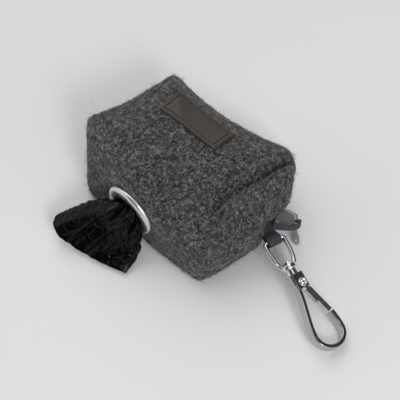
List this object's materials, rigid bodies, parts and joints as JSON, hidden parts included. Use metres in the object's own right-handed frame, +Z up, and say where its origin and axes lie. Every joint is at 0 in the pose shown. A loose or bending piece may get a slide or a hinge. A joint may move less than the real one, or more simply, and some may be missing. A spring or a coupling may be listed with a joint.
{
  "type": "dog waste bag dispenser",
  "caption": "Soft felt pouch for a roll of dog waste bags, with a front eyelet the bag is drawn through, a zip, a webbing loop and a swivel snap hook",
  "frame": {"origin": "centre of the pouch's flat base, on the ground", "axes": "+X along the pouch towards the strap and hook, -Y out of the front wall with the eyelet, +Z up"},
  "size_m": [0.1462, 0.0825, 0.0454],
  "materials": {
    "felt": "heathered grey wool felt",
    "patch_leather": "embossed matte grey-brown faux leather",
    "bright_metal": "satin nickel",
    "zip_metal": "dull nickel",
    "hook_metal": "polished black nickel",
    "tape": "fine woven tape",
    "webbing": "woven webbing",
    "film": "thin glossy crinkled film",
    "paper": "rolled paper core"
  },
  "bodies": {
    "pouch": {"top_panel": "felt", "bottom_panel": "felt", "label_patch": "patch_leather", "eyelet_flange": "bright_metal", "eyelet_washer": "bright_metal", "zip_tape_upper": "tape", "zip_tape_lower": "tape", "zip_teeth_upper": "zip_metal", "zip_teeth_lower": "zip_metal", "zip_top_stops": "zip_metal", "zip_bottom_stop": "zip_metal", "tape_end_fold": "tape", "strap_loop": "webbing"},
    "slider": {"zip_slider": "bright_metal", "slider_bridge": "bright_metal"},
    "tab": {"pull_tab": "zip_metal"},
    "stirrup": {"swivel_eye": "hook_metal"},
    "hook": {"swivel_post": "hook_metal", "hook_body": "hook_metal", "gate_pin": "hook_metal"},
    "gate": {"hook_gate": "hook_metal", "gate_spring": "hook_metal"},
    "roll": {"roll_core": "paper", "bag_roll": "film"},
    "tail": {"bag_tail": "film"}
  },
  "joints": [
    {"name": "zip_slide", "type": "slide", "parent": "pouch", "child": "slider", "axis": [-1, 0, 0], "range_m": [0, 0.069]},
    {"name": "tab_swing", "type": "hinge", "parent": "slider", "child": "tab", "pos_m": [0.04902, 0.01564, 0.00736], "axis": [0, 0.7071, -0.7071], "range_deg": [-120, 2]},
    {"name": "eye_swing", "type": "hinge", "parent": "pouch", "child": "stirrup", "pos_m": [0.04999, -0.002, 0.0155], "axis": [0.3939, 0.9191, 0], "range_deg": [-100, 0]},
    {"name": "hook_swivel", "type": "hinge", "parent": "stirrup", "child": "hook", "pos_m": [0.04999, -0.002, 0.0155], "axis": [0.8949, -0.3835, -0.2284], "continuous": true},
    {"name": "gate_open", "type": "hinge", "parent": "hook", "child": "gate", "pos_m": [0.06956, -0.00987, 0.01039], "axis": [0.3213, 0.1985, 0.9259], "range_deg": [-22, 0], "stiffness_Nm_per_rad": 0.02, "springref_deg": 17.19},
    {"name": "roll_spin", "type": "hinge", "parent": "pouch", "child": "roll", "pos_m": [-0.0015, -0.004, 0.019], "axis": [1, 0, 0], "range_deg": [0, 72]},
    {"name": "bag_pull", "type": "slide", "parent": "pouch", "child": "tail", "axis": [-0.1316, -0.9913, 0], "range_m": [0, 0.0202]}
  ],
  "couplings": [
    {"joint": "bag_pull", "follows": "roll_spin", "m_per_rad": 0.016}
  ]
}
